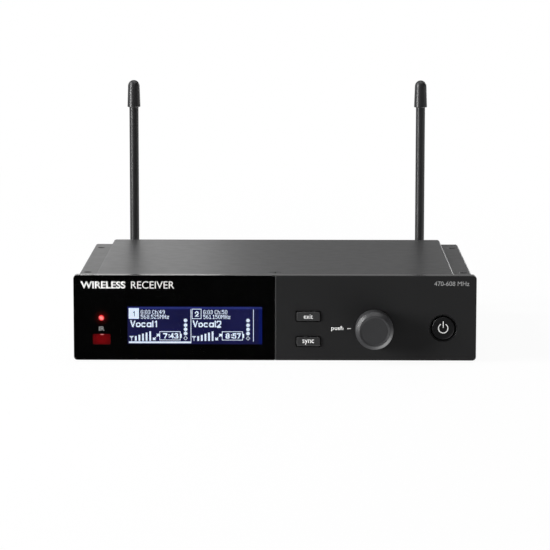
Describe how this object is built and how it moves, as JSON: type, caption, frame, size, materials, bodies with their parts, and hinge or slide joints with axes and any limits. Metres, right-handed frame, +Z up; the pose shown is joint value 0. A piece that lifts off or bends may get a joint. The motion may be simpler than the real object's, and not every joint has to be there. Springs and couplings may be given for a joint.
{
  "type": "wireless receiver",
  "caption": "Half-rack wireless microphone receiver with a display window, keys, a push encoder, folded steel case, audio outputs and swivelling whip antennas.",
  "frame": {"origin": "middle of the whole object's footprint, on the surface that it stands on", "axes": "+X to the right of someone facing the panel, +Y from the panel to the rear, +Z up"},
  "size_m": [0.197, 0.1932, 0.1261],
  "materials": {
    "antenna_rubber": "satin black over-moulding",
    "backlight": "white diffuser",
    "black_film": "black printed film",
    "black_nickel": "black nickel",
    "black_screw": "black zinc",
    "cap_rubber": "satin black",
    "circuit_board": "green solder mask",
    "clear_window": "polished clear polycarbonate",
    "component_plastic": "moulded epoxy",
    "contact_gold": "gold plate",
    "contact_silver": "silver plate",
    "display_glass": "dark blue dot-matrix display",
    "foot_rubber": "matt black rubber",
    "header_plastic": "cream nylon",
    "hinge_pin": "plain steel",
    "key_gloss": "satin black",
    "key_rubber": "matt silicone",
    "knob_plastic": "soft-touch black",
    "lamp_epoxy": "moulded epoxy",
    "lead_jacket": "thin coaxial lead",
    "nickel_plate": "bright nickel",
    "painted_cover": "fine-textured black powder coat",
    "painted_steel": "fine-textured black powder coat",
    "panel_matt_plastic": "fine matt moulded black",
    "red_filter": "deep red filter",
    "red_light_pipe": "red clear plastic, lit",
    "ribbon_plastic": "white flat cable",
    "socket_plastic": "glass-filled nylon",
    "switch_plastic": "moulded black nylon",
    "tie_plastic": "moulded nylon",
    "tin_plate": "tin-plated steel",
    "tray_plastic": "moulded black",
    "white_insulator": "white insulator",
    "zinc_plate": "bright zinc"
  },
  "bodies": {
    "root": {"antenna_leads": "lead_jacket", "bnc_a_jack": "nickel_plate", "bnc_b_jack": "nickel_plate", "bnc_fasteners": "nickel_plate", "bnc_insulators": "white_insulator", "board_components": "component_plastic", "board_screws": "zinc_plate", "board_standoffs": "nickel_plate", "bottom_screws": "black_screw", "chassis_pan": "painted_steel", "control_board": "circuit_board", "control_board_lamps": "lamp_epoxy", "cord_tie_off": "tie_plastic", "cover_screws": "black_screw", "dc_jack": "socket_plastic", "dc_pin": "contact_silver", "display_window": "clear_window", "encoder_body": "zinc_plate", "ethernet_contacts": "contact_gold", "ethernet_jack": "tin_plate", "foot_pads": "foot_rubber", "front_bezel": "panel_matt_plastic", "ir_window": "red_filter", "jack_1_body": "socket_plastic", "jack_2_body": "socket_plastic", "jack_nuts": "nickel_plate", "lcd_backlight": "backlight", "lcd_frame": "tray_plastic", "lcd_panel": "display_glass", "main_board": "circuit_board", "rear_panel": "painted_steel", "rf_shields": "tin_plate", "ribbon_cable": "ribbon_plastic", "ribbon_connectors": "header_plastic", "status_light_pipe": "red_light_pipe", "switch_bodies": "switch_plastic", "top_cover": "painted_cover", "window_mask": "black_film", "xlr_1_shell": "socket_plastic", "xlr_2_shell": "socket_plastic", "xlr_pins": "contact_silver"},
    "exit_key": {"exit_button": "key_rubber", "exit_switch_plunger": "switch_plastic"},
    "sync_key": {"sync_button": "key_rubber", "sync_switch_plunger": "switch_plastic"},
    "power_key": {"power_button": "key_gloss", "power_switch_plunger": "switch_plastic"},
    "encoder_press": {"encoder_plunger": "switch_plastic"},
    "encoder_turn": {"encoder_knob": "knob_plastic", "encoder_shaft": "nickel_plate"},
    "antenna_a_lock": {"antenna_a_ring": "black_nickel"},
    "antenna_a_swivel": {"antenna_a_plug": "black_nickel", "antenna_a_pin": "hinge_pin"},
    "antenna_a_tilt": {"antenna_a_whip": "antenna_rubber", "antenna_a_cap": "cap_rubber"},
    "antenna_b_lock": {"antenna_b_ring": "black_nickel"},
    "antenna_b_swivel": {"antenna_b_plug": "black_nickel", "antenna_b_pin": "hinge_pin"},
    "antenna_b_tilt": {"antenna_b_whip": "antenna_rubber", "antenna_b_cap": "cap_rubber"}
  },
  "joints": [
    {"name": "exit_press", "type": "slide", "parent": "root", "child": "exit_key", "axis": [0, 1, 0], "range_m": [0, 0.0005], "stiffness_N_per_m": 500, "springref_m": -0.002},
    {"name": "sync_press", "type": "slide", "parent": "root", "child": "sync_key", "axis": [0, 1, 0], "range_m": [0, 0.0005], "stiffness_N_per_m": 500, "springref_m": -0.002},
    {"name": "power_press", "type": "slide", "parent": "root", "child": "power_key", "axis": [0, 1, 0], "range_m": [0, 0.001], "stiffness_N_per_m": 400, "springref_m": -0.002},
    {"name": "encoder_press", "type": "slide", "parent": "root", "child": "encoder_press", "axis": [0, 1, 0], "range_m": [0, 0.0005], "stiffness_N_per_m": 800, "springref_m": -0.003},
    {"name": "encoder_turn", "type": "hinge", "parent": "encoder_press", "child": "encoder_turn", "pos_m": [0.0485, -0.08585, 0.0166], "axis": [0, 1, 0], "continuous": true},
    {"name": "antenna_a_lock", "type": "hinge", "parent": "root", "child": "antenna_a_lock", "pos_m": [-0.0787, 0.07735, 0.021], "axis": [0, 1, 0], "range_deg": [0, 90]},
    {"name": "antenna_a_swivel", "type": "hinge", "parent": "root", "child": "antenna_a_swivel", "pos_m": [-0.0787, 0.08535, 0.021], "axis": [0, 1, 0], "continuous": true},
    {"name": "antenna_a_tilt", "type": "hinge", "parent": "antenna_a_swivel", "child": "antenna_a_tilt", "pos_m": [-0.0787, 0.09215, 0.021], "axis": [-1, 0, 0], "range_deg": [0, 90]},
    {"name": "antenna_b_lock", "type": "hinge", "parent": "root", "child": "antenna_b_lock", "pos_m": [0.0787, 0.07735, 0.021], "axis": [0, 1, 0], "range_deg": [0, 90]},
    {"name": "antenna_b_swivel", "type": "hinge", "parent": "root", "child": "antenna_b_swivel", "pos_m": [0.0787, 0.08535, 0.021], "axis": [0, 1, 0], "continuous": true},
    {"name": "antenna_b_tilt", "type": "hinge", "parent": "antenna_b_swivel", "child": "antenna_b_tilt", "pos_m": [0.0787, 0.09215, 0.021], "axis": [-1, 0, 0], "range_deg": [0, 90]}
  ]
}
